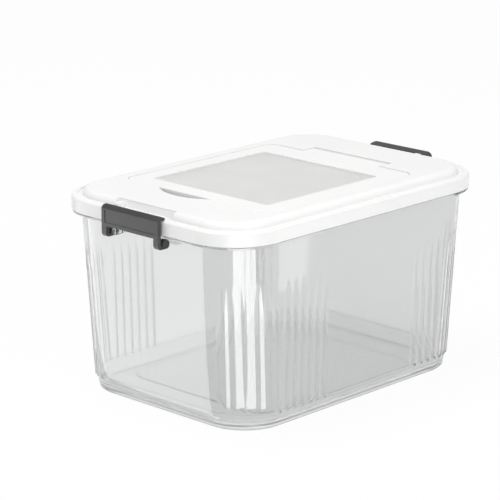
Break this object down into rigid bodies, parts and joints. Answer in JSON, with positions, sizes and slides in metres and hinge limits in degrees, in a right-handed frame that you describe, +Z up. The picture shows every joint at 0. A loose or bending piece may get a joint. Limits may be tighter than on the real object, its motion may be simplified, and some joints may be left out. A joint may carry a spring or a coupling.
{
  "type": "rice bin with flip lid",
  "caption": "Clear rectangular rice bin with fluted corners, a white clip-on lid with a hinged windowed filling flap, and a dark snap latch at each end.",
  "frame": {"origin": "middle of the footprint, on the surface that the bin stands on", "axes": "+Z up; +Y along the long side, from the end with the flap's finger recess to the end behind the flap's hinge; +X across"},
  "size_m": [0.254, 0.383, 0.2058],
  "materials": {
    "clear_tub": "clear glossy moulded plastic",
    "white_lid": "glossy white moulded plastic",
    "white_flap": "glossy white moulded plastic",
    "window": "pale grey translucent plastic, satin",
    "seal": "soft matt translucent silicone",
    "dark_latch": "dark grey moulded plastic, satin"
  },
  "bodies": {
    "root": {"tub": "clear_tub", "lid": "white_lid", "lid_seal": "seal", "flip_seal": "seal"},
    "flip": {"flip_lid": "white_flap", "flip_window": "window"},
    "front_latch": {"front_latch": "dark_latch"},
    "rear_latch": {"rear_latch": "dark_latch"}
  },
  "joints": [
    {"name": "flip_hinge", "type": "hinge", "parent": "root", "child": "flip", "pos_m": [0, 0.1132, 0.2016], "axis": [-1, 0, 0], "range_deg": [0, 100]},
    {"name": "front_latch_hinge", "type": "hinge", "parent": "root", "child": "front_latch", "pos_m": [-0.006, -0.1805, 0.1765], "axis": [1, 0, 0], "range_deg": [0, 100]},
    {"name": "rear_latch_hinge", "type": "hinge", "parent": "root", "child": "rear_latch", "pos_m": [0.006, 0.1805, 0.1765], "axis": [-1, 0, 0], "range_deg": [0, 100]}
  ]
}
